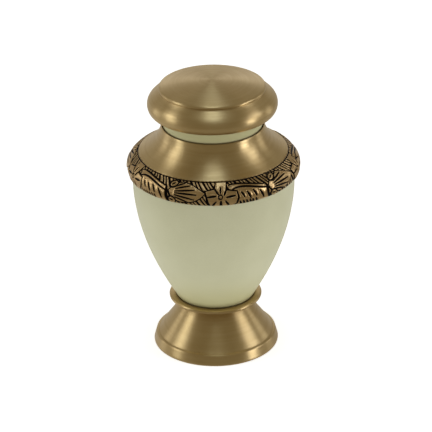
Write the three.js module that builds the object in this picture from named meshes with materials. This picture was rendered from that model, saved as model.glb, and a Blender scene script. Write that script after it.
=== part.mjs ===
// A keepsake cremation urn in brass and cream enamel, turned about +Z. Millimetres.
// A hollow enamelled vessel stands in the seat of a flared foot. A brass mantle covers its
// shoulder and ends in a rolled band, and the spigot of a domed lid sits in its neck.
// The origin is the centre of the ring on which the foot stands.
import * as THREE from "three";

// Facets round each piece, and straight steps along each curve of an outer or an inner face
const AROUND = 44;
const OUTER_STEPS = 6;
const INNER_STEPS = 4;

// Free gap between pieces that sit one inside the other
const GAP = 0.3;

// Foot: the ring it stands on, a stepped lip, a straight cone, a waist and a collar
const RING_RADIUS = 16.45;
const RING_WIDTH = 1.55;
const LIP_RADIUS = 16.6;
const LIP_SHELF_RADIUS = 15.95;
const LIP_TOP = 2.9;
const CONE_FOOT_RADIUS = 15.25;
const CONE_FOOT = 3.05;
const WAIST_RADIUS = 9.2;
const WAIST = 11.35;
const COLLAR_RADIUS = 12.3;
const COLLAR_ROUND = 0.5;
const FOOT_TOP = 14.1;
const SEAT_FLOOR = 13.6;
const FOOT_WALL = 1.5;
const FOOT_WEB = 2;

// Vessel: a belly that swells upwards from the seat, and a straight neck
const BELLY_FOOT_RADIUS = 10.25;
const BELLY_RADIUS = 21.3;
const BELLY_TOP = 50.2;
const NECK_RADIUS = 13;
const NECK_TOP = 66.9;
const VESSEL_WALL = 1.5;

// Mantle: a convex band below a concave shoulder, and the level step on which it rests
const BAND_FOOT_RADIUS = 22.2;
const BAND_FOOT = 50;
const BAND_RADIUS = 22.6;
const BAND_WIDEST = 51.8;
const SHOULDER_RADIUS = 19.6;
const SHOULDER_FOOT = 55.6;
const SHOULDER_TOP = 63.2;
const REGISTER_RADIUS = 18.9;
const REGISTER_WIDTH = 0.4;
const REGISTER = 54.55;
const MANTLE_WALL = 1.1;

// Lid: a low dome with a thin edge, a groove, a swelling rim, and a spigot for the neck
const LID_RADIUS = 17;
const LID_SEAT_RADIUS = 15.6;
const LID_WIDEST = 69;
const GROOVE_RADIUS = 13.8;
const GROOVE = 72.95;
const DISC_RADIUS = 13.95;
const DISC_TOP = 73.9;
const LID_TOP = 75.7;
const LID_WALL = 1.9;
const SPIGOT_WALL = 1.2;
const SPIGOT_LENGTH = 4.3;

const BRASS = { color: 0xa58a5c, roughness: 0.36, metalness: 1 };
const ENAMEL = { color: 0xc9c6a4, roughness: 0.42, metalness: 0 };

// Appends corners to a profile, each given as [radius, height].
function corners(profile, ...places) {
  for (const [radius, height] of places) profile.push(new THREE.Vector2(radius, height));
}

// Appends the points of a curve, moved by offset to the left of its travel and no nearer to the
// axis than least. Left is into the metal for a curve that runs up an outer face.
function follow(profile, curve, steps, { offset = 0, from = 0, to = steps, least = 0 } = {}) {
  for (let step = from; step <= to; step += 1) {
    const point = curve.getPoint(step / steps);
    const travel = curve.getTangent(step / steps);
    const radius = point.x - offset * travel.y;
    corners(profile, [Math.max(radius, least), point.y + offset * travel.x]);
  }
}

function bezier(...places) {
  return new THREE.CubicBezierCurve(...places.map((place) => new THREE.Vector2(...place)));
}

function arc(centre, width, height, from, to) {
  return new THREE.EllipseCurve(...centre, width, height, ...[from, to].map(THREE.MathUtils.degToRad));
}

function turned(name, profile, finish) {
  const geometry = new THREE.LatheGeometry(profile, AROUND);
  geometry.rotateX(Math.PI / 2);
  const mesh = new THREE.Mesh(geometry, new THREE.MeshStandardMaterial(finish));
  mesh.name = name;
  return mesh;
}

// The curves of the outline that two pieces share, each running upwards
const BELLY = bezier(
  [BELLY_FOOT_RADIUS, FOOT_TOP],
  [17.1, 25.4],
  [BELLY_RADIUS + 0.3, 36.8],
  [BELLY_RADIUS, BELLY_TOP],
);
const BAND = bezier(
  [BAND_RADIUS, BAND_WIDEST],
  [BAND_RADIUS, 53.5],
  [21, 54.7],
  [SHOULDER_RADIUS, SHOULDER_FOOT],
);
const MOUTH_RADIUS = NECK_RADIUS + GAP;
const SHOULDER = bezier(
  [SHOULDER_RADIUS, SHOULDER_FOOT],
  [16.3, 57.4],
  [14.1, 59.9],
  [MOUTH_RADIUS + 0.2, SHOULDER_TOP - 0.2],
);

// A face under the band and the shoulder, as deep in the metal as offset, with the level step
// where the mantle rests on the vessel.
function registerFace(profile, offset, least, stepRadius) {
  const half = REGISTER_WIDTH / 2;
  follow(profile, BAND, INNER_STEPS, { offset, to: INNER_STEPS - 1 });
  corners(profile, [stepRadius + half, REGISTER], [stepRadius - half, REGISTER]);
  follow(profile, SHOULDER, INNER_STEPS, { offset, least, from: 1 });
}

// The foot: a hollow cone on a stepped lip, under a collar with a shallow round seat
function foot() {
  const lean = (CONE_FOOT_RADIUS - WAIST_RADIUS) / (WAIST - CONE_FOOT);
  const levelWall = FOOT_WALL * Math.hypot(1, lean);
  const webUnderside = SEAT_FLOOR - FOOT_WEB;
  const hollowTopRadius = WAIST_RADIUS - levelWall - (webUnderside - WAIST) * lean;
  const waistFillet = bezier([WAIST_RADIUS, WAIST], [8.6, 12.15], [8.9, 12.6], [9.8, 12.75]);
  const collarCentre = [COLLAR_RADIUS - COLLAR_ROUND, FOOT_TOP - COLLAR_ROUND];
  const seatRadius = BELLY_FOOT_RADIUS + GAP;

  const profile = [];
  corners(profile, [0, webUnderside], [hollowTopRadius, webUnderside]);
  corners(profile, [CONE_FOOT_RADIUS - levelWall, CONE_FOOT], [RING_RADIUS - RING_WIDTH, 0]);
  corners(profile, [RING_RADIUS, 0], [LIP_RADIUS - 0.05, 0.15], [LIP_RADIUS, 0.45]);
  corners(profile, [LIP_SHELF_RADIUS, LIP_TOP - 0.15], [LIP_SHELF_RADIUS - 0.15, LIP_TOP]);
  corners(profile, [CONE_FOOT_RADIUS, CONE_FOOT]);
  follow(profile, waistFillet, INNER_STEPS);
  follow(profile, arc(collarCentre, COLLAR_ROUND, COLLAR_ROUND, -75, 90), OUTER_STEPS);
  corners(profile, [seatRadius, FOOT_TOP], [seatRadius, SEAT_FLOOR], [0, SEAT_FLOOR]);
  return turned("foot", profile, BRASS);
}

// The vessel: a belly with a level floor, a shoulder that the mantle covers, and an open neck
function vessel() {
  const cover = MANTLE_WALL + GAP;
  const outside = [];
  corners(outside, [0, SEAT_FLOOR], [BELLY_FOOT_RADIUS - 0.4, SEAT_FLOOR]);
  follow(outside, BELLY, OUTER_STEPS);
  registerFace(outside, cover, NECK_RADIUS, REGISTER_RADIUS - 0.05);
  corners(outside, [NECK_RADIUS, NECK_TOP]);

  const bore = NECK_RADIUS - VESSEL_WALL;
  const inside = [];
  follow(inside, BELLY, INNER_STEPS, { offset: VESSEL_WALL });
  follow(inside, BAND, 2, { offset: cover + VESSEL_WALL });
  follow(inside, SHOULDER, INNER_STEPS, { offset: cover + VESSEL_WALL, from: 1, least: bore });
  corners(inside, [bore, NECK_TOP]);
  const floor = new THREE.Vector2(0, inside[0].y);
  return turned("vessel", [...outside, ...inside.reverse(), floor], ENAMEL);
}

// The mantle: a thin cap over the vessel's shoulder, whose band hangs clear round the belly
function mantle() {
  const lip = bezier(
    [BAND_FOOT_RADIUS, BAND_FOOT],
    [22.5, 50.4],
    [BAND_RADIUS, 51],
    [BAND_RADIUS, BAND_WIDEST],
  );
  const outside = [];
  follow(outside, lip, INNER_STEPS);
  follow(outside, BAND, OUTER_STEPS, { from: 1 });
  follow(outside, SHOULDER, OUTER_STEPS, { from: 1 });
  corners(outside, [MOUTH_RADIUS + 0.1, SHOULDER_TOP], [MOUTH_RADIUS, SHOULDER_TOP - 0.1]);

  const inside = [];
  corners(inside, [BELLY_RADIUS + GAP, BAND_FOOT]);
  registerFace(inside, MANTLE_WALL, MOUTH_RADIUS, REGISTER_RADIUS + 0.05);
  return turned("mantle", [...outside, ...inside.reverse(), outside[0]], BRASS);
}

// The lid: its rim rests on the neck, and it is hollow from the spigot up to the dome
function lid() {
  const spigotRadius = NECK_RADIUS - VESSEL_WALL - GAP;
  const spigotFoot = NECK_TOP - SPIGOT_LENGTH;
  const hollowRadius = spigotRadius - SPIGOT_WALL;
  const ceiling = LID_TOP - LID_WALL;
  const hollow = bezier([0, ceiling], [4, ceiling], [hollowRadius, 72.9], [hollowRadius, 70.7]);
  const rimWidth = LID_RADIUS - LID_SEAT_RADIUS;
  const underRim = arc([LID_SEAT_RADIUS, LID_WIDEST], rimWidth, LID_WIDEST - NECK_TOP, -90, 0);
  const rim = bezier([LID_RADIUS, LID_WIDEST], [LID_RADIUS, 71.2], [15, 71.8], [GROOVE_RADIUS, GROOVE]);
  const edge = DISC_RADIUS - 0.45;
  const discEdge = bezier([DISC_RADIUS, 73.3], [DISC_RADIUS, 73.6], [13.8, 73.85], [edge, DISC_TOP]);
  const dome = bezier([edge, DISC_TOP], [9.2, 75.1], [4.6, LID_TOP], [0, LID_TOP]);

  const profile = [];
  follow(profile, hollow, INNER_STEPS);
  corners(profile, [hollowRadius, spigotFoot], [spigotRadius, spigotFoot], [spigotRadius, NECK_TOP]);
  follow(profile, underRim, INNER_STEPS);
  follow(profile, rim, OUTER_STEPS, { from: 1 });
  corners(profile, [GROOVE_RADIUS, GROOVE + 0.1]);
  follow(profile, discEdge, 3);
  follow(profile, dome, OUTER_STEPS, { from: 1 });
  return turned("lid", profile, BRASS);
}

const urn = new THREE.Group();
urn.add(foot(), vessel(), mantle(), lid());

export default urn;
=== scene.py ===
import math

import bpy
import numpy as np
from mathutils import Matrix, Vector

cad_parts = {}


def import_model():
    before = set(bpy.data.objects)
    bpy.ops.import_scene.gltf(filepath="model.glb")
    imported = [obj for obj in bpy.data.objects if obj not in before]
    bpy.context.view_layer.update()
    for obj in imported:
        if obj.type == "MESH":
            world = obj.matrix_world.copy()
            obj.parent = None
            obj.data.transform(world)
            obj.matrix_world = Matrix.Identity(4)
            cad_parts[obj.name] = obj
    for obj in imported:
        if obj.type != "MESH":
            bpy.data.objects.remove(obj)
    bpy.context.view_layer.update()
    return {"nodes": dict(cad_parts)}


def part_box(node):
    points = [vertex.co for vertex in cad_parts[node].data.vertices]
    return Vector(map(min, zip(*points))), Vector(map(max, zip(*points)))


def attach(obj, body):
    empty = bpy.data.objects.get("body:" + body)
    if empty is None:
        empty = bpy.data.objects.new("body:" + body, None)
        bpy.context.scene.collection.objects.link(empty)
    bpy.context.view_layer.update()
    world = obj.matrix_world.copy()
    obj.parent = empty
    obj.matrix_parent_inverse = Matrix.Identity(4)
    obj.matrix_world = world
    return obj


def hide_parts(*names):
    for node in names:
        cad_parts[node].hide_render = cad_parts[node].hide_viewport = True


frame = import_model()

# The looks of a brass and enamel keepsake urn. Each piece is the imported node's own outline,
# smoothed and turned finely about the upright axis. The band of the mantle is engraved as
# real relief. Lengths are metres, apart from the engraving, which is drawn in millimetres.
MM = 0.001
TINY = 1e-6
NEAR_ZERO = 1e-12

# How finely the pieces are turned, and how their sharp edges are eased
COLUMNS = 256
BAND_COLUMNS = 1400
BAND_ROWS = 60
COARSE_EVERY = 8
CREASE_DEG = 34
EDGE_EASE = 0.12 * MM
MOST_EASE = 0.4
ROW_LENGTH = 0.45 * MM
BAND_ROW_LENGTH = 0.2 * MM
BAND_FADE = 0.25 * MM
STRAIGHT_RATIO = 3

# The part of the mantle's height that the engraved band takes up
BAND_SHARE = 0.424

# How wide the darkening beside a hollow corner spreads, patina and painted shade on the brass and
# painted shade on the enamel, and the recess value and the angle of a full one
SEAM_WIDTH = 0.35 * MM
SEAM_DEPTH = 0.27
SEAM_FULL_DEG = 60


def half_section(node):
    """The outline of a turned node in the half plane beside its axis, as an array of radius and
    height. It runs so that the metal is on its left, from axis to axis or round a closed loop."""
    mesh = frame["nodes"][node].data
    places = [(round(v.co.x, 7), round(v.co.z, 7), abs(v.co.y) < TINY and v.co.x > -TINY)
              for v in mesh.vertices]
    links = {}
    for edge in mesh.edges:
        first, second = (places[i] for i in edge.vertices)
        if first[2] and second[2] and first[:2] != second[:2]:
            links.setdefault(first[:2], set()).add(second[:2])
            links.setdefault(second[:2], set()).add(first[:2])
    ends = [place for place, near in links.items() if len(near) == 1]
    start = min(ends or links, key=lambda place: (place[1], -place[0]))
    walk = [start]
    while True:
        onward = [place for place in sorted(links[walk[-1]]) if place not in walk]
        if not onward:
            break
        walk.append(onward[0])
    outline = np.array(walk)
    closed = not ends
    ring = np.vstack([outline, outline[:1]])
    area = np.sum(ring[:-1, 0] * ring[1:, 1] - ring[1:, 0] * ring[:-1, 1])
    if area < 0:
        outline = outline[::-1]
    if closed:
        outline = np.vstack([outline, outline[:1]])
    return outline


def unit(vectors):
    return vectors / np.maximum(np.linalg.norm(vectors, axis=-1, keepdims=True), NEAR_ZERO)


def turn_angles(outline):
    """Degrees by which the outline turns at each inner corner: positive where it is convex."""
    ways = unit(np.diff(outline, axis=0))
    cross = ways[:-1, 0] * ways[1:, 1] - ways[:-1, 1] * ways[1:, 0]
    dots = np.sum(ways[:-1] * ways[1:], axis=1)
    return np.degrees(np.arctan2(cross, dots))


def smooth_stretch(corners, row_length):
    """Points along a smooth curve through the corners, about row_length apart."""
    steps = np.diff(corners, axis=0)
    lengths = np.linalg.norm(steps, axis=1)
    ways = steps / lengths[:, None]
    tangents = np.vstack([ways[:1], ways[1:], ways[-1:]])
    for i in range(1, len(corners) - 1):
        before, after = lengths[i - 1], lengths[i]
        if max(before, after) > STRAIGHT_RATIO * min(before, after):
            tangents[i] = ways[i - 1] if before > after else ways[i]
        else:
            tangents[i] = unit(ways[i - 1] * after + ways[i] * before)
    points = [corners[:1]]
    for i, length in enumerate(lengths):
        count = max(1, math.ceil(length / row_length))
        t = (np.arange(1, count + 1) / count)[:, None]
        points.append(
            (2 * t**3 - 3 * t**2 + 1) * corners[i]
            + (t**3 - 2 * t**2 + t) * length * tangents[i]
            + (3 * t**2 - 2 * t**3) * corners[i + 1]
            + (t**3 - t**2) * length * tangents[i + 1]
        )
    return np.vstack(points)


def smoothed(outline, row_length=ROW_LENGTH):
    """The outline with curves through its gentle corners and a small round at each sharp one."""
    angles = turn_angles(outline)
    sharp = [0, *(i + 1 for i, a in enumerate(angles) if abs(a) > CREASE_DEG), len(outline) - 1]
    stretches = []
    for first, last in zip(sharp, sharp[1:]):
        stretch = outline[first:last + 1].copy()
        for end, beside in ((0, 1), (-1, -2)):
            corner = outline[(first, last)[end]]
            if (first, last)[end] not in (0, len(outline) - 1):
                room = np.linalg.norm(stretch[beside] - corner)
                stretch[end] = corner + (stretch[beside] - corner) * min(EDGE_EASE / room, MOST_EASE)
        stretches.append(smooth_stretch(stretch, row_length))
    points = [stretches[0]]
    for corner, before, after in zip(sharp[1:], stretches, stretches[1:]):
        points.append((before[-1:] + 2 * outline[corner] + after[:1]) / 4)
        points.append(after)
    return np.vstack(points)


def seam_depth(outline, points):
    """How near each point of the smoothed outline is to a hollow corner, as a recess value."""
    angles = turn_angles(outline)
    depth = np.zeros(len(points))
    for corner, angle in zip(outline[1:-1], angles):
        if angle < -CREASE_DEG / 2:
            near = np.linalg.norm(points - corner, axis=1) / SEAM_WIDTH
            full = SEAM_DEPTH * min(1, -angle / SEAM_FULL_DEG)
            depth = np.maximum(depth, full * np.exp(-near**2))
    return depth


def directions(columns):
    """Unit vectors round the axis, from the back by the left: column 0 is away from the camera."""
    angles = np.linspace(-math.pi, math.pi, columns, endpoint=False)
    return np.column_stack([np.sin(angles), -np.cos(angles)])


class Turning:
    """Collects the rings, faces and values of one turned mesh."""

    def __init__(self):
        self.places, self.recess, self.faces, self.corners = [], [], [], []
        self.count = 0

    def ring(self, radii, heights, recess, columns):
        """Adds one ring, or one point on the axis, and returns its vertex numbers."""
        if np.max(radii) < TINY:
            self.places.append([[0, 0, float(np.mean(heights))]])
            self.recess.append([float(np.mean(recess))])
            self.count += 1
            return np.array([self.count - 1])
        around = directions(columns)
        place = np.column_stack([around * np.broadcast_to(radii, columns)[:, None],
                                 np.broadcast_to(heights, columns)])
        self.places.append(place)
        self.recess.append(np.broadcast_to(recess, columns))
        self.count += columns
        return np.arange(self.count - columns, self.count)

    def face(self, numbers, corners):
        self.faces.append(numbers)
        self.corners.extend(corners)

    def join(self, low, high, low_v, high_v):
        """Faces between two rings. A ring may have a whole number of times the other's columns."""
        steps = max(1, min(n for n in (len(low), len(high)) if n > 1))
        for k in range(steps):
            below = self.span(low, k, steps)
            above = self.span(high, k, steps)
            numbers = [n for n, _ in below] + [n for n, _ in reversed(above)]
            corners = [(u, low_v) for _, u in below] + [(u, high_v) for _, u in reversed(above)]
            self.face(numbers, corners)

    @staticmethod
    def span(ring, k, steps):
        """The vertices of a ring along step k of its turn, with their share of the whole turn."""
        if len(ring) == 1:
            return [(int(ring[0]), (k + 0.5) / steps)]
        every = len(ring) // steps
        return [(int(ring[(k * every + i) % len(ring)]), (k * every + i) / len(ring))
                for i in range(every + 1)]

    def build(self, name, material_of=None, materials=()):
        mesh = bpy.data.meshes.new(name)
        places = np.vstack([np.asarray(p, float).reshape(-1, 3) for p in self.places])
        mesh.from_pydata(places.tolist(), [], self.faces)
        recess = mesh.attributes.new("recess", "FLOAT", "POINT")
        recess.data.foreach_set("value", np.concatenate(self.recess).astype(np.float32))
        layer = mesh.uv_layers.new(name="OFBake")
        layer.data.foreach_set("uv", np.array(self.corners, np.float32).ravel())
        for material in materials:
            mesh.materials.append(material)
        if material_of is not None:
            mesh.polygons.foreach_set("material_index", np.array(material_of, np.int32))
        mesh.shade_smooth()
        mesh.update()
        piece = bpy.data.objects.new(name, mesh)
        bpy.context.scene.collection.objects.link(piece)
        return piece


def arc_share(points):
    """How far along the outline each point lies, from 0 to 1."""
    run = np.concatenate([[0], np.cumsum(np.linalg.norm(np.diff(points, axis=0), axis=1))])
    return run / run[-1]


def turned(node, name, materials, hidden, extra_shade=None):
    """A turned piece that stands for a node. The faces after the points of the outline for which
    hidden is true get the second material. The last argument gives further painted shade."""
    outline = half_section(node)
    points = smoothed(outline)
    recess = seam_depth(outline, points)
    # Further painted shade, where given, joins the recess value
    if extra_shade is not None:
        recess = np.maximum(recess, extra_shade(points))
    share = arc_share(points)
    within = hidden(points)
    work = Turning()
    rings = [work.ring(np.array([r]), np.array([z]), d, COLUMNS)
             for (r, z), d in zip(points, recess)]
    material_of = []
    for i in range(len(points) - 1):
        before = len(work.faces)
        work.join(rings[i], rings[i + 1], share[i], share[i + 1])
        material_of += [int(within[i])] * (len(work.faces) - before)
    piece = work.build(name, material_of, materials)
    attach(piece, "root")
    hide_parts(node)
    return piece


# The engraving is drawn flat, in millimetres: x to the right round the band, y up from its lower
# edge. One repeat holds a flower, a curled leaf and a fan leaf, with buds and hatched ground.
SEED = 7
REPEATS = 5
FLOWER_AT = 1.7
FLOWER_HEIGHT = 2.7
STROKE = 0.58
STROKE_END = 0.62
STROKE_REACH = 1.3
STROKE_SOFTNESS = 0.75
CUT_DEPTH = 0.24
GROUND_DEPTH = 0.03
SWELL = 0.09
SWELL_REACH = 0.3
BURR = 0.07
BURR_REACH = 0.16
BURR_AT = 1.4
HATCH_PITCH = 0.95
HATCH_LEAN_DEG = 58
HATCH_SWAY = 0.14
HATCH_SWAYS = 43
HATCH_START = 0.42
HATCH_SOFTNESS = 0.24
RIM_STROKE = 0.3

# How much the repeats differ: the spread of a motif's size and place, and of a stroke's place
SIZE_SPREAD = 0.015
PLACE_SPREAD = 0.06
STROKE_SPREAD = 0.03


def curve(*corners, count=16):
    """Points of the Bezier curve with these corners."""
    points = np.repeat(np.array(corners, float)[:, None, :], count, axis=1)
    t = np.linspace(0, 1, count)[None, :, None]
    while len(points) > 1:
        points = points[:-1] * (1 - t) + points[1:] * t
    return points[0]


def oval(width, height):
    turn = np.linspace(0, 2 * math.pi, 20)
    return np.column_stack([width * np.cos(turn), height * np.sin(turn)])


def flower():
    """An open flower that the lower edge cuts off: blunt petals round a small centre, parted by
    bold lines. The origin is its centre."""
    top_left = np.array([(-1.2, 4.1), (-1.5, 2.3), (-3.9, 1.6)])
    left = np.array([(-3.9, 1.6), (-3.5, 0.0), (-3.1, -1.5), (-2.4, -2.8)])
    right = np.array([(2.7, -2.8), (4.0, -2.1), (4.5, -0.5), (4.2, 1.3)])
    top_right = np.array([(4.2, 1.3), (1.6, 1.9), (1.9, 4.1)])
    strokes = [(top_left, 0.75), (left, 1), (right, 0.9), (top_right, 0.75), (oval(0.5, 0.55), 0.7)]
    for first, last, weight in (
        ((-1.1, 0.3), (-3.1, 0.05), 1), ((-0.5, 0.7), (-1.5, 2.3), 0.95),
        ((0.0, 1.0), (0.2, 2.6), 0.9), ((0.9, 0.5), (1.6, 1.9), 0.95),
        ((1.5, -0.1), (3.6, 0.15), 1), ((1.2, -1.0), (2.2, -2.5), 1),
        ((0.1, -1.1), (0.1, -2.7), 1.2), ((-1.1, -1.2), (-2.1, -2.5), 1),
    ):
        strokes.append((np.array([first, last]), weight))
    return np.vstack([top_left, left, right, top_right]), strokes


def curled_leaf():
    """A leaf with a rolled upper edge between two contours, short veins below them and a dark,
    toothed underside."""
    upper = curve((2.2, 5.7), (3.4, 6.5), (6.8, 6.1), (9.4, 5.1), (12.6, 4.3))
    lower = curve((2.6, 4.0), (4.2, 5.5), (7.0, 5.3), (9.2, 4.1), (12.4, 3.3))
    end = curve((12.6, 4.3), (12.9, 2.8), (12.6, 1.7), (13.3, 0.4))
    under = curve((13.3, 0.4), (10.8, -0.2), (8.2, 0.9), (5.4, 0.3), (4.2, 0.5))
    back = curve((4.2, 0.5), (4.6, 3.2), (2.2, 5.7), count=8)
    strokes = [(upper, 0.9), (lower, 0.95), (end, 1.4)]
    for x, y, length in ((5.3, 3.6, 1.4), (6.8, 3.5, 1.8), (8.5, 3.6, 1.7), (10.4, 3.1, 2.1)):
        vein = curve((x, y), (x + 0.3 * length, y - 0.4 * length), (x + 0.5 * length, y - length))
        strokes.append((vein, 1))
    for x in np.arange(4.9, 9.2, 0.85):
        strokes.append((np.array([(x, 1.3), (x + 0.45, 0.1)]), 1))
    return np.vstack([upper, end, under, back]), strokes


def fan_leaf():
    """An oval leaf that points to the next flower, with veins spreading from its stalk."""
    upper = curve((13.5, 3.7), (14.6, 4.8), (15.2, 7.6), (18.6, 7.3), (20.8, 5.3), (23.3, 3.8))
    lower = curve((23.3, 3.8), (21.8, 1.5), (19.4, 0.4), (16.6, 0.3), (14.4, 0.9), (13.5, 3.7))
    strokes = [(upper, 0.6), (lower, 0.65)]
    stalk = np.array([12.2, 3.1])
    for angle, start, length in (
        (29, 3.9, 2.3), (19, 3.5, 3.9), (9.5, 3.2, 5.2), (1, 3.2, 5.7), (-8, 3.2, 5.2), (-17, 3.5, 3.9),
    ):
        way = np.array([math.cos(math.radians(angle)), math.sin(math.radians(angle))])
        first, last = stalk + start * way, stalk + (start + length) * way
        bow = (first + last) / 2 + np.array([0, 0.15])
        strokes.append((curve(first, bow, last), 0.8))
    return np.vstack([upper, lower]), strokes


def bud(x, y, width, height, lean):
    """A small oval bud with one short stroke."""
    spin = np.array([[math.cos(lean), math.sin(lean)], [-math.sin(lean), math.cos(lean)]])
    edge = oval(width, height) @ spin + (x, y)
    vein = np.array([[-0.45 * width, 0], [0.35 * width, 0.1]]) @ spin + (x, y)
    return edge, [(edge, 0.9), (vein, 0.8)]


class Engraving:
    """A drawing that covers the band: how deep it is cut, and where a motif stands or swells."""

    def __init__(self, length, height):
        self.length, self.height = length, height
        self.x = np.arange(BAND_COLUMNS) * length / BAND_COLUMNS
        self.y = np.linspace(0, height, BAND_ROWS + 1)
        shape = (BAND_ROWS + 1, BAND_COLUMNS)
        self.cut, self.swell, self.burr = np.zeros(shape), np.zeros(shape), np.zeros(shape)
        self.motif = np.zeros(shape, bool)

    def window(self, points, margin):
        """The rows and wrapped columns that the points cover, and the columns' own places."""
        low, high = points.min(axis=0) - margin, points.max(axis=0) + margin
        pitch = self.length / BAND_COLUMNS
        columns = np.arange(math.floor(low[0] / pitch), math.ceil(high[0] / pitch) + 1)
        rows = np.flatnonzero((self.y >= low[1]) & (self.y <= high[1]))
        return np.ix_(rows, columns % BAND_COLUMNS), self.y[rows][:, None], (columns * pitch)[None, :]

    @staticmethod
    def reach(points, y, x):
        """The distance to the line through the points, and how far along it the nearest place is."""
        best = np.full(np.broadcast_shapes(y.shape, x.shape), np.inf)
        along = np.zeros_like(best)
        parts = len(points) - 1
        for i, (first, last) in enumerate(zip(points, points[1:])):
            way = last - first
            t = ((x - first[0]) * way[0] + (y - first[1]) * way[1]) / max(way @ way, NEAR_ZERO)
            t = np.clip(t, 0, 1)
            gap = np.hypot(x - first[0] - t * way[0], y - first[1] - t * way[1])
            along = np.where(gap < best, (i + t) / parts, along)
            best = np.minimum(best, gap)
        return best, along

    def stroke(self, points, width):
        """Cuts one stroke, as wide as width in the middle and narrower at its ends, and raises a
        burr along it."""
        area, y, x = self.window(points, 2 * width)
        gap, along = self.reach(points, y, x)
        half = 0.5 * width * (STROKE_END + (1 - STROKE_END) * np.sin(math.pi * along))
        edge = np.clip((STROKE_REACH - gap / half) / STROKE_SOFTNESS, 0, 1)
        self.cut[area] = np.maximum(self.cut[area], edge * edge * (3 - 2 * edge))
        lip = np.exp(-((gap - BURR_AT * half) / BURR_REACH) ** 2)
        self.burr[area] = np.maximum(self.burr[area], lip)

    def body(self, outline):
        """Lays a swelling motif over what is drawn so far."""
        area, y, x = self.window(outline, 0)
        ring = np.vstack([outline, outline[:1]])
        inside = np.zeros(np.broadcast_shapes(y.shape, x.shape), bool)
        for (x0, y0), (x1, y1) in zip(ring, ring[1:]):
            if y0 != y1:
                inside ^= ((y0 > y) != (y1 > y)) & (x < x0 + (y - y0) * (x1 - x0) / (y1 - y0))
        gap, _ = self.reach(ring, y, x)
        dome = 1 - np.exp(-gap / SWELL_REACH)
        self.cut[area] = np.where(inside, 0, self.cut[area])
        self.burr[area] = np.where(inside, 0, self.burr[area])
        self.swell[area] = np.where(inside, dome, self.swell[area])
        self.motif[area] |= inside

    def hatch(self):
        """Cuts bold slanting strokes into the ground that no motif covers."""
        lean = math.radians(HATCH_LEAN_DEG)
        pitch = self.length / round(self.length * math.sin(lean) / HATCH_PITCH) * math.sin(lean)
        x, y = self.x[None, :], self.y[:, None]
        sway = HATCH_SWAY * np.sin(2 * math.pi * HATCH_SWAYS * x / self.length + y)
        across = x * math.sin(lean) + y * math.cos(lean) + sway
        wave = 0.5 + 0.5 * np.cos(2 * math.pi * across / pitch)
        edge = np.clip((wave - HATCH_START) / HATCH_SOFTNESS, 0, 1)
        self.cut = np.where(self.motif, self.cut, np.maximum(self.cut, edge))

    def height_map(self):
        raised = SWELL * self.swell + BURR * self.burr * (1 - self.cut)
        return MM * (raised - CUT_DEPTH * self.cut - GROUND_DEPTH * ~self.motif)


def engraved(length, height):
    """The whole band's drawing: the repeats differ slightly, as hand work does."""
    drawing = Engraving(length, height)
    repeat = length / REPEATS
    draws = np.random.default_rng(SEED)
    blossom, lines = flower()
    raised = np.array([0, FLOWER_HEIGHT])
    motifs = [
        curled_leaf(),
        fan_leaf(),
        bud(14.9, 5.5, 1.25, 0.95, 0.6),
        bud(14.4, 1.1, 1.1, 1.0, -0.5),
        (blossom + raised, [(line + raised, weight) for line, weight in lines]),
    ]
    middle = length / 2 + FLOWER_AT
    for k in range(REPEATS):
        for outline, strokes in motifs:
            stretch = 1 + draws.normal(0, SIZE_SPREAD, 2)
            shift = np.array([middle + k * repeat, 0]) + draws.normal(0, PLACE_SPREAD, 2)
            drawing.body(outline * stretch + shift)
            for line, weight in strokes:
                wobble = draws.normal(0, STROKE_SPREAD, 2)
                drawing.stroke(line * stretch + shift + wobble, STROKE * weight)
    drawing.hatch()
    rim = height - RIM_STROKE / 2
    drawing.stroke(np.array([[0, rim], [length, rim]]), RIM_STROKE)
    return drawing


def lower_outer_corner(points, ground):
    """The number of the point that lies farthest out and lowest, height counting for more."""
    reach = points[:, 0] + 4 * (ground - points[:, 1])
    return int(np.argmax(reach))


def loop_from_corner(outline, row_length, ground):
    """A closed outline, smoothed, once round from its lower outer corner."""
    points = smoothed(outline, row_length)[:-1]
    return np.roll(points, -lower_outer_corner(points, ground), axis=0)


def first_above(points, level):
    return int(np.argmax(points[:, 1] > level))


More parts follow.
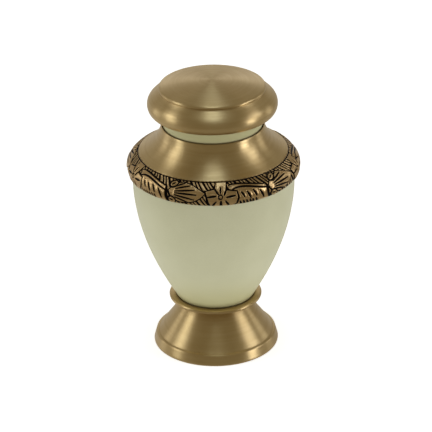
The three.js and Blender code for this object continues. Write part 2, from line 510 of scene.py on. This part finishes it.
def mantle_piece(materials):
    """The mantle: a finely turned, engraved band, and the rest of its outline in fewer rows and
    columns."""
    outline = half_section("mantle")
    low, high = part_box("mantle")
    band_top = low.z + BAND_SHARE * (high.z - low.z)
    fine = loop_from_corner(outline, BAND_ROW_LENGTH, low.z)
    fine = fine[:first_above(fine, band_top) + 1]
    plain = loop_from_corner(outline, ROW_LENGTH, low.z)
    rest = plain[first_above(plain, band_top) + 1:]
    run = np.concatenate([[0], np.cumsum(np.linalg.norm(np.diff(fine, axis=0), axis=1))])
    rows = np.linspace(0, run[-1], BAND_ROWS + 1)
    band = np.column_stack([np.interp(rows, run, fine[:, k]) for k in (0, 1)])
    along = unit(np.gradient(band, axis=0))
    normals = np.column_stack([along[:, 1], -along[:, 0]])

    length = 2 * math.pi * float(np.mean(band[:, 0])) / MM
    drawing = engraved(length, run[-1] / MM)
    relief = drawing.height_map()
    fade = np.clip(np.minimum(rows, run[-1] - rows) / BAND_FADE, 0, 1)
    relief *= fade[:, None]

    work = Turning()
    band_rings = [
        work.ring(band[i, 0] + normals[i, 0] * relief[i], band[i, 1] + normals[i, 1] * relief[i],
                  drawing.cut[i], BAND_COLUMNS)
        for i in range(BAND_ROWS + 1)
    ]
    rest_rings = [work.ring(np.array([r]), np.array([z]), d, BAND_COLUMNS // COARSE_EVERY)
                  for (r, z), d in zip(rest, seam_depth(outline, rest))]
    rings = band_rings + rest_rings + band_rings[:1]
    share = arc_share(np.vstack([band, rest, band[:1]]))
    for i in range(len(rings) - 1):
        work.join(rings[i], rings[i + 1], share[i], share[i + 1])
    banded = BAND_ROWS * BAND_COLUMNS
    material_of = [1] * banded + [0] * (len(work.faces) - banded)
    piece = work.build("mantle_engraved", material_of, materials)
    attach(piece, "root")
    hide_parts("mantle")
    return piece


# The least radius at which the noise in rings still turns, so that it stays calm on the axis
LEAST_RING = 0.5 * MM


class Nodes:
    """Short calls that add and link nodes of one material."""

    def __init__(self, name):
        self.material = bpy.data.materials.new(name)
        self.material.use_nodes = True
        self.tree = self.material.node_tree
        self.shader = self.tree.nodes["Principled BSDF"]

    def add(self, kind, **settings):
        node = self.tree.nodes.new(kind)
        for key, value in settings.items():
            setattr(node, key, value)
        return node

    def link(self, source, target):
        self.tree.links.new(source, target)

    def math(self, operation, first, second=None):
        node = self.add("ShaderNodeMath", operation=operation)
        for socket, value in zip(node.inputs, (first, second)):
            if value is None:
                continue
            if isinstance(value, (int, float)):
                socket.default_value = value
            else:
                self.link(value, socket)
        return node.outputs[0]

    def blend(self, first, share, second):
        """A share of the first value and the rest of the second."""
        rest = self.math("MULTIPLY", second, 1 - share)
        return self.math("ADD", self.math("MULTIPLY", first, share), rest)

    def ramp(self, value, low, high, start=0.0, end=1.0):
        """Maps start..end of a value to low..high, smoothly."""
        node = self.add("ShaderNodeMapRange", interpolation_type="SMOOTHSTEP")
        self.link(value, node.inputs["Value"])
        for key, number in (("From Min", start), ("From Max", end), ("To Min", low), ("To Max", high)):
            node.inputs[key].default_value = number
        return node.outputs["Result"]

    def mix(self, factor, first, second):
        node = self.add("ShaderNodeMix", data_type="RGBA")
        self.link(factor, node.inputs["Factor"])
        colours = [socket for socket in node.inputs if socket.type == "RGBA"]
        for socket, value in zip(colours, (first, second)):
            if isinstance(value, tuple):
                socket.default_value = (*value, 1)
            else:
                self.link(value, socket)
        return next(socket for socket in node.outputs if socket.type == "RGBA")

    def noise(self, scale, detail=2.0, vector=None, w=None):
        node = self.add("ShaderNodeTexNoise", noise_dimensions="3D" if w is None else "4D")
        node.inputs["Scale"].default_value = scale
        node.inputs["Detail"].default_value = detail
        self.link(vector or self.place(), node.inputs["Vector"])
        if w is not None:
            self.link(w, node.inputs["W"])
        return node.outputs["Fac"]

    def place(self):
        return self.add("ShaderNodeTexCoord").outputs["Object"]

    def height(self):
        parts = self.add("ShaderNodeSeparateXYZ")
        self.link(self.place(), parts.inputs[0])
        return parts.outputs["Z"]

    def attribute(self, name):
        return self.add("ShaderNodeAttribute", attribute_name=name).outputs["Fac"]

    def rings(self, lines_per_metre, arc):
        """Noise in long arcs round the axis: fine across them, slow along them."""
        parts = self.add("ShaderNodeSeparateXYZ")
        self.link(self.place(), parts.inputs[0])
        x, y, z = parts.outputs
        squares = self.math("ADD", self.math("MULTIPLY", x, x), self.math("MULTIPLY", y, y))
        radius = self.math("SQRT", squares)
        safe = self.math("MAXIMUM", radius, LEAST_RING)
        vector = self.add("ShaderNodeCombineXYZ")
        self.link(self.math("MULTIPLY", radius, lines_per_metre), vector.inputs[0])
        self.link(self.math("MULTIPLY", z, lines_per_metre), vector.inputs[1])
        self.link(self.math("MULTIPLY", self.math("DIVIDE", x, safe), arc), vector.inputs[2])
        w = self.math("MULTIPLY", self.math("DIVIDE", y, safe), arc)
        return self.noise(1.0, 1.0, vector.outputs[0], w)

    def bump(self, height, distance, strength):
        node = self.add("ShaderNodeBump")
        node.inputs["Strength"].default_value = strength
        node.inputs["Distance"].default_value = distance
        self.link(height, node.inputs["Height"])
        self.link(node.outputs["Normal"], self.shader.inputs["Normal"])


# Brass: its pale and deep tones, the patina and painted shade in its hollow corners, and the
# brushing round the axis, in lines to the metre. The chased brass of the band is darker and
# blackened in its strokes.
BRASS_PALE = (0.60, 0.455, 0.23)
BRASS_DEEP = (0.52, 0.375, 0.172)
CHASED_PALE = (0.58, 0.41, 0.205)
CHASED_DEEP = (0.45, 0.30, 0.14)
# The plain brass's tone at hollow corners: patina and painted shade
BRASS_PATINA_AND_SHADE = (0.34, 0.23, 0.10)
CHASED_PATINA = (0.010, 0.007, 0.006)
BRASS_ROUGHNESS = 0.36
BRASS_ANISOTROPY = 0.8
CHASED_ROUGHNESS = 0.3
CHASED_ANISOTROPY = 0.2
ROUGHNESS_SPREAD = 0.05
FINE_LINES = 7000
BROAD_LINES = 1500
MOTTLE_SCALE = 140
BRUSH_DEPTH = 0.02 * MM
BRUSH_STRENGTH = 0.22
PATINA_ROUGHNESS = 0.3


def brushed_brass(name, pale, deep, patina_and_shade, roughness, anisotropy):
    """Satin brass, brushed round the axis, darkened where the recess value is high: patina and
    painted shade at hollow corners, and a black fill in engraved strokes.
    """
    nodes = Nodes(name)
    fine = nodes.rings(FINE_LINES, 1.6)
    broad = nodes.rings(BROAD_LINES, 0.8)
    mottle = nodes.noise(MOTTLE_SCALE, 3)
    recess = nodes.attribute("recess")
    tone = nodes.blend(broad, 0.4, mottle)
    brass = nodes.mix(nodes.ramp(tone, 0, 1, 0.25, 0.75), deep, pale)
    # Patina and painted shade: the brass darkens where the recess value is high
    colour = nodes.mix(nodes.ramp(recess, 0, 1, 0.1, 0.5), brass, patina_and_shade)
    nodes.link(colour, nodes.shader.inputs["Base Color"])
    rough = nodes.ramp(fine, roughness - ROUGHNESS_SPREAD, roughness + ROUGHNESS_SPREAD, 0.3, 0.7)
    worn = nodes.math("ADD", rough, nodes.math("MULTIPLY", recess, PATINA_ROUGHNESS))
    nodes.link(worn, nodes.shader.inputs["Roughness"])
    nodes.bump(nodes.blend(fine, 0.7, broad), BRUSH_DEPTH, BRUSH_STRENGTH)
    nodes.shader.inputs["Metallic"].default_value = 1.0
    nodes.shader.inputs["Anisotropic"].default_value = anisotropy
    nodes.shader.inputs["Anisotropic Rotation"].default_value = 0.25
    tangent = nodes.add("ShaderNodeTangent", direction_type="RADIAL", axis="Z")
    nodes.link(tangent.outputs[0], nodes.shader.inputs["Tangent"])
    return nodes.material


# Enamel: its two cream tones, a yellower tint of painted bounce light near the brass, and
# painted shade along its seams
CREAM = (0.52, 0.515, 0.338)
CREAM_PALE = (0.56, 0.555, 0.375)
# The yellower tint is painted bounce light from the brass
CREAM_BOUNCE_TINT = (0.50, 0.475, 0.245)
CREAM_SHADE = (0.16, 0.11, 0.05)
CLOUD_SCALE = 90
GRAIN_SCALE = 2600
PEEL_SCALE = 1100
PEEL_DEPTH = 0.01 * MM
PEEL_STRENGTH = 0.25

# The heights between which painted warm light, bounced from the brass, tints the enamel yellower,
# towards the foot and towards the neck
BOUNCE_TINT_FOOT = (14 * MM, 28 * MM)
BOUNCE_TINT_NECK = (60 * MM, 64 * MM)


def cream_enamel():
    """Satin cream enamel: faint clouding, a fine orange-peel surface, painted shade along its seams,
    and a yellower tint of painted bounce light near the brass at its foot and its neck."""
    nodes = Nodes("cream_enamel")
    cloud = nodes.noise(CLOUD_SCALE, 3)
    grain = nodes.noise(GRAIN_SCALE, 2)
    tone = nodes.blend(cloud, 0.7, grain)
    cream = nodes.mix(nodes.ramp(tone, 0, 1, 0.3, 0.7), CREAM, CREAM_PALE)
    height = nodes.height()
    # Painted bounce light: yellower towards the foot and the neck, where the brass is near
    low = nodes.ramp(height, 0.8, 0, *BOUNCE_TINT_FOOT)
    high = nodes.ramp(height, 0, 1, *BOUNCE_TINT_NECK)
    bounce_tinted = nodes.mix(nodes.math("MAXIMUM", low, high), cream, CREAM_BOUNCE_TINT)
    # Painted shade: the enamel darkens towards CREAM_SHADE along its seams and hollow corners
    seam = nodes.ramp(nodes.attribute("recess"), 0, 0.85, 0.05, 1.0)
    nodes.link(nodes.mix(seam, bounce_tinted, CREAM_SHADE), nodes.shader.inputs["Base Color"])
    nodes.link(nodes.ramp(grain, 0.38, 0.48, 0.3, 0.7), nodes.shader.inputs["Roughness"])
    nodes.bump(nodes.noise(PEEL_SCALE, 2), PEEL_DEPTH, PEEL_STRENGTH)
    nodes.shader.inputs["Specular IOR Level"].default_value = 0.4
    nodes.shader.inputs["Coat Weight"].default_value = 0.1
    nodes.shader.inputs["Coat Roughness"].default_value = 0.35
    return nodes.material


# Unpolished brass: its deep and pale tones, its stains and its turning marks
RAW_DEEP = (0.26, 0.17, 0.075)
RAW_PALE = (0.46, 0.33, 0.16)
STAIN_SCALE = 260
TURNING_LINES = 2600
TURNING_DEPTH = 0.04 * MM
TURNING_STRENGTH = 0.4


def raw_brass():
    """Unpolished brass for the hollows: dull, with turning marks and stains."""
    nodes = Nodes("raw_brass")
    stain = nodes.noise(STAIN_SCALE, 4)
    marks = nodes.rings(TURNING_LINES, 1.0)
    tone = nodes.blend(stain, 0.6, marks)
    colour = nodes.mix(nodes.ramp(tone, 0, 1, 0.35, 0.65), RAW_DEEP, RAW_PALE)
    nodes.link(colour, nodes.shader.inputs["Base Color"])
    nodes.link(nodes.ramp(stain, 0.45, 0.62, 0.3, 0.7), nodes.shader.inputs["Roughness"])
    nodes.bump(marks, TURNING_DEPTH, TURNING_STRENGTH)
    nodes.shader.inputs["Metallic"].default_value = 1.0
    return nodes.material


# How far the painted shade spreads on the enamel from the edge of the brass
SEAM_SHADE_WIDTH = 0.15 * MM


def foot_hollow(points):
    """The part of the foot's outline before it first touches the ground."""
    return np.arange(len(points)) < np.argmin(points[:, 1])


def vessel_hollow(points):
    """The part of the vessel's outline after the top of its neck."""
    return np.arange(len(points)) >= np.argmax(points[:, 1])


def lid_hollow(points):
    """The part of the lid's outline before it first grows wider than the neck it rests on."""
    neck = half_section("vessel")
    neck_radius = neck[np.argmax(neck[:, 1]), 0]
    return np.arange(len(points)) < np.argmax(points[:, 0] > neck_radius)


def vessel_seam_shade(points):
    """Painted shade on the enamel where it meets the foot and both edges of the mantle."""
    levels = (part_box("foot")[1].z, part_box("mantle")[0].z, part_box("mantle")[1].z)
    gaps = [np.abs(points[:, 1] - level) / SEAM_SHADE_WIDTH for level in levels]
    return np.exp(-np.min(gaps, axis=0) ** 2)


def build_urn():
    """Makes every piece of the urn."""
    brass = brushed_brass("brushed_brass", BRASS_PALE, BRASS_DEEP, BRASS_PATINA_AND_SHADE,
                          BRASS_ROUGHNESS, BRASS_ANISOTROPY)
    chased = brushed_brass("chased_brass", CHASED_PALE, CHASED_DEEP, CHASED_PATINA,
                           CHASED_ROUGHNESS, CHASED_ANISOTROPY)
    raw = raw_brass()
    turned("foot", "foot_turned", (brass, raw), foot_hollow)
    turned("vessel", "vessel_enamelled", (cream_enamel(), raw), vessel_hollow, vessel_seam_shade)
    mantle_piece((brass, chased))
    turned("lid", "lid_turned", (brass, raw), lid_hollow)


build_urn()


# The stage: a pale floor, soft lamps at both sides and above, and the photo's viewpoint
PIXEL = 0.264 * MM
PHOTO_PIXELS = 432
DISTANCE_PIXELS = 3054
SENSOR = 36
LENS = SENSOR * DISTANCE_PIXELS / PHOTO_PIXELS
DISTANCE = DISTANCE_PIXELS * PIXEL
ELEVATION = math.radians(26.26)
AIM = Vector((1.7 * PIXEL, 0, 137.1 * PIXEL))
ROLL = math.radians(0.93)


def place_camera():
    data = bpy.data.cameras.new("camera")
    data.lens = LENS
    data.sensor_width = SENSOR
    data.clip_start, data.clip_end = 0.05, 20
    camera = bpy.data.objects.new("camera", data)
    back = Vector((0, -math.cos(ELEVATION), math.sin(ELEVATION)))
    facing = (-back).to_track_quat("-Z", "Y").to_matrix().to_4x4()
    place = Matrix.Translation(AIM + DISTANCE * back)
    camera.matrix_world = place @ facing @ Matrix.Rotation(-ROLL, 4, "Z")
    bpy.context.scene.collection.objects.link(camera)
    bpy.context.scene.camera = camera


# Every lamp stands at one distance and faces the urn's middle. Azimuth 0 is the camera's side and
# 90 the right. Each lamp has a name, azimuth, elevation, size, power and colour.
LAMP_AIM = Vector((0, 0, 0.04))
LAMP_DISTANCE = 0.9
SIDE_SIZE = (0.25, 0.4)
LAMPS = (
    ("left_lamp", -75, 11, SIDE_SIZE, 0.64, (0.95, 1, 1.05)),
    ("left_fill", -90, 34, SIDE_SIZE, 0.7, (0.965, 1, 1.055)),
    ("right_lamp", 68, 4, SIDE_SIZE, 1.35, (0.97, 1, 1.09)),
    ("right_fill", 88, 30, SIDE_SIZE, 0.75, (0.965, 1, 1.1)),
    ("left_edge", -112, 6, SIDE_SIZE, 0.3, (0.965, 1, 1.08)),
    ("right_edge", 112, 6, SIDE_SIZE, 0.3, (0.965, 1, 1.08)),
    ("back_lamp", 180, 16, (0.6, 0.25), 0.3, (0.965, 1, 1.08)),
    ("top_lamp", 0, 88, (0.25, 0.8), 1.06, (0.83, 1, 1.19)),
)


def softbox(name, azimuth, elevation, size, power, colour):
    """A rectangular lamp that faces the urn."""
    data = bpy.data.lights.new(name, "AREA")
    data.shape = "RECTANGLE"
    data.size, data.size_y = size
    data.energy = power
    data.color = colour
    lamp = bpy.data.objects.new(name, data)
    a, e = math.radians(azimuth), math.radians(elevation)
    away = Vector((math.sin(a) * math.cos(e), -math.cos(a) * math.cos(e), math.sin(e)))
    lamp.location = LAMP_AIM + LAMP_DISTANCE * away
    lamp.rotation_euler = away.to_track_quat("Z", "Y").to_euler()
    bpy.context.scene.collection.objects.link(lamp)


FLOOR_HALF = 3
FLOOR_GLOW = 0.69


def floor():
    """A plain pale floor that glows a little and does not show in the brass."""
    mesh = bpy.data.meshes.new("floor")
    signs = ((-1, -1), (1, -1), (1, 1), (-1, 1))
    corners = [(x * FLOOR_HALF, y * FLOOR_HALF, 0) for x, y in signs]
    mesh.from_pydata(corners, [], [(0, 1, 2, 3)])
    piece = bpy.data.objects.new("floor", mesh)
    nodes = Nodes("floor")
    nodes.shader.inputs["Base Color"].default_value = (0.9, 0.9, 0.9, 1)
    nodes.shader.inputs["Roughness"].default_value = 0.9
    nodes.shader.inputs["Specular IOR Level"].default_value = 0.1
    nodes.shader.inputs["Emission Color"].default_value = (1, 1, 1, 1)
    nodes.shader.inputs["Emission Strength"].default_value = FLOOR_GLOW
    mesh.materials.append(nodes.material)
    bpy.context.scene.collection.objects.link(piece)
    piece.visible_glossy = False


# The surroundings are palest below, where the pale floor lies, and towards the back left.
PALE_SIDE = (-0.25, 0.6, -0.76)
DARK_SURROUNDINGS = (0.265, 0.235, 0.17)
PALE_SURROUNDINGS = (0.69, 0.67, 0.63)
SURROUNDINGS_POWER = 2.4


def world():
    """Plain surroundings that grow paler towards one side."""
    surroundings = bpy.data.worlds.new("surroundings")
    surroundings.use_nodes = True
    tree = surroundings.node_tree
    background = tree.nodes["Background"]
    way = tree.nodes.new("ShaderNodeTexCoord")
    along = tree.nodes.new("ShaderNodeVectorMath")
    along.operation = "DOT_PRODUCT"
    along.inputs[1].default_value = PALE_SIDE
    share = tree.nodes.new("ShaderNodeMapRange")
    share.inputs["From Min"].default_value = -1
    shade = tree.nodes.new("ShaderNodeValToRGB")
    for stop, colour in zip(shade.color_ramp.elements, (DARK_SURROUNDINGS, PALE_SURROUNDINGS)):
        stop.color = (*colour, 1)
    tree.links.new(way.outputs["Generated"], along.inputs[0])
    tree.links.new(along.outputs["Value"], share.inputs["Value"])
    steeper = tree.nodes.new("ShaderNodeMath")
    steeper.operation = "POWER"
    steeper.inputs[1].default_value = SURROUNDINGS_POWER
    tree.links.new(share.outputs["Result"], steeper.inputs[0])
    tree.links.new(steeper.outputs[0], shade.inputs["Fac"])
    tree.links.new(shade.outputs["Color"], background.inputs["Color"])
    bpy.context.scene.world = surroundings


floor()
world()
for lamp in LAMPS:
    softbox(*lamp)
place_camera()
bpy.context.scene.view_settings.view_transform = "Standard"
